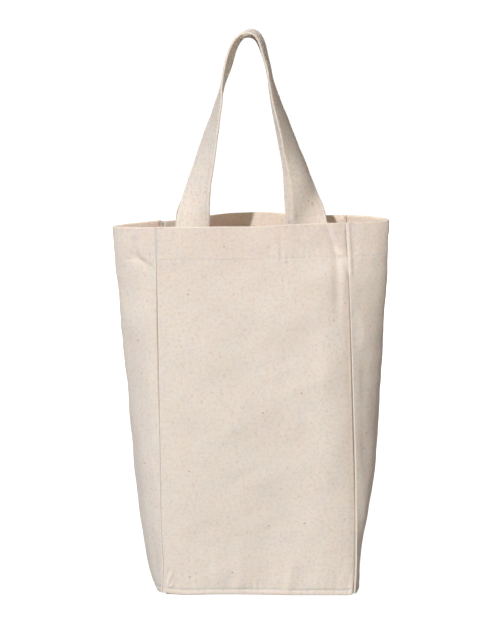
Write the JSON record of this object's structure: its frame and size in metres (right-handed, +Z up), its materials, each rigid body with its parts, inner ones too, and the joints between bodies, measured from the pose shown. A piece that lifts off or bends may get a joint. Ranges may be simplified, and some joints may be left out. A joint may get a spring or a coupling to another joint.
{
  "type": "canvas bottle tote",
  "caption": "Natural canvas bottle carrier: open-topped gusseted bag with a sewn divider, hemmed rim, pinched edge seams and folding strap handles.",
  "frame": {"origin": "on the floor under the middle of the base", "axes": "+Z up, -Y out of the front panel, +X to the right seen from the front"},
  "size_m": [0.23, 0.087, 0.47],
  "materials": {
    "canvas": "undyed plain-weave cotton canvas with dark seed flecks",
    "strap": "the same canvas folded in four layers and edge stitched",
    "thread": "undyed cotton sewing thread"
  },
  "bodies": {
    "bag": {"front_panel": "canvas", "back_panel": "canvas", "left_gusset": "canvas", "right_gusset": "canvas", "bottom_panel": "canvas", "divider": "canvas", "front_handle_ends": "strap", "back_handle_ends": "strap"},
    "front_handle": {"front_handle": "strap"},
    "back_handle": {"back_handle": "strap"}
  },
  "joints": [
    {"name": "front_handle_fold", "type": "hinge", "parent": "bag", "child": "front_handle", "pos_m": [0, -0.0204, 0.31], "axis": [1, 0, 0], "range_deg": [0, 160]},
    {"name": "back_handle_fold", "type": "hinge", "parent": "bag", "child": "back_handle", "pos_m": [0, 0.0325, 0.31], "axis": [-1, 0, 0], "range_deg": [0, 170]}
  ]
}
